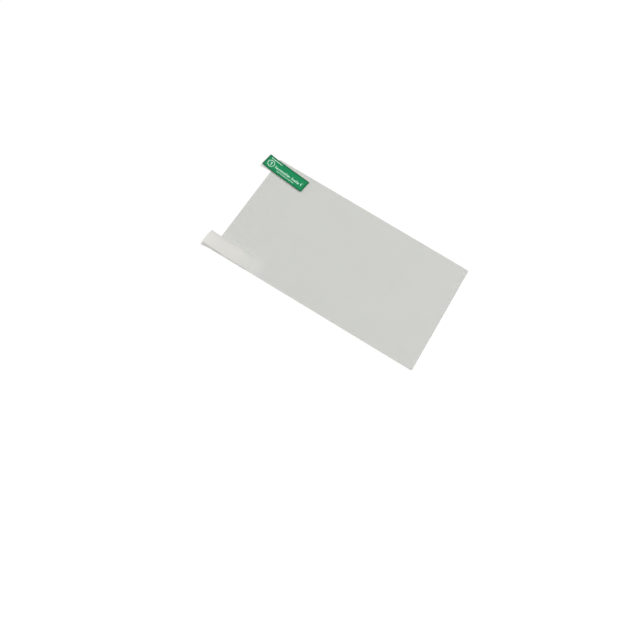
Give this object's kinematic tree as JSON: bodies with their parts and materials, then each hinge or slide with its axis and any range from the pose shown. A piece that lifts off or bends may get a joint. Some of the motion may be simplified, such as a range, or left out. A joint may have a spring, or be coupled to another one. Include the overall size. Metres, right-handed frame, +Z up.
{
  "type": "screen protector",
  "caption": "Flat rectangular screen protector: a clear film between a clear release liner and a hazy cover film, each with a pull tab overhanging one short edge.",
  "frame": {"origin": "centre of the cover film's flat underside, which lies on the table", "axes": "+X along the film's length, away from the pull tabs; +Y across it, towards the liner's tab; +Z up, from the cover film to the liner"},
  "size_m": [0.1179, 0.063, 0.001],
  "materials": {
    "hazy_film": "hazy translucent grey masking film",
    "clear_film": "clear film with a soft gloss",
    "clear_liner": "clear film with a soft gloss",
    "pale_label": "uncoated pale cream paper label",
    "green_label": "satin green label with white print"
  },
  "bodies": {
    "root": {"cover_film": "hazy_film", "protector_film": "clear_film", "release_liner": "clear_liner", "cover_pull_tab": "pale_label", "liner_pull_tab": "green_label"}
  },
  "joints": []
}
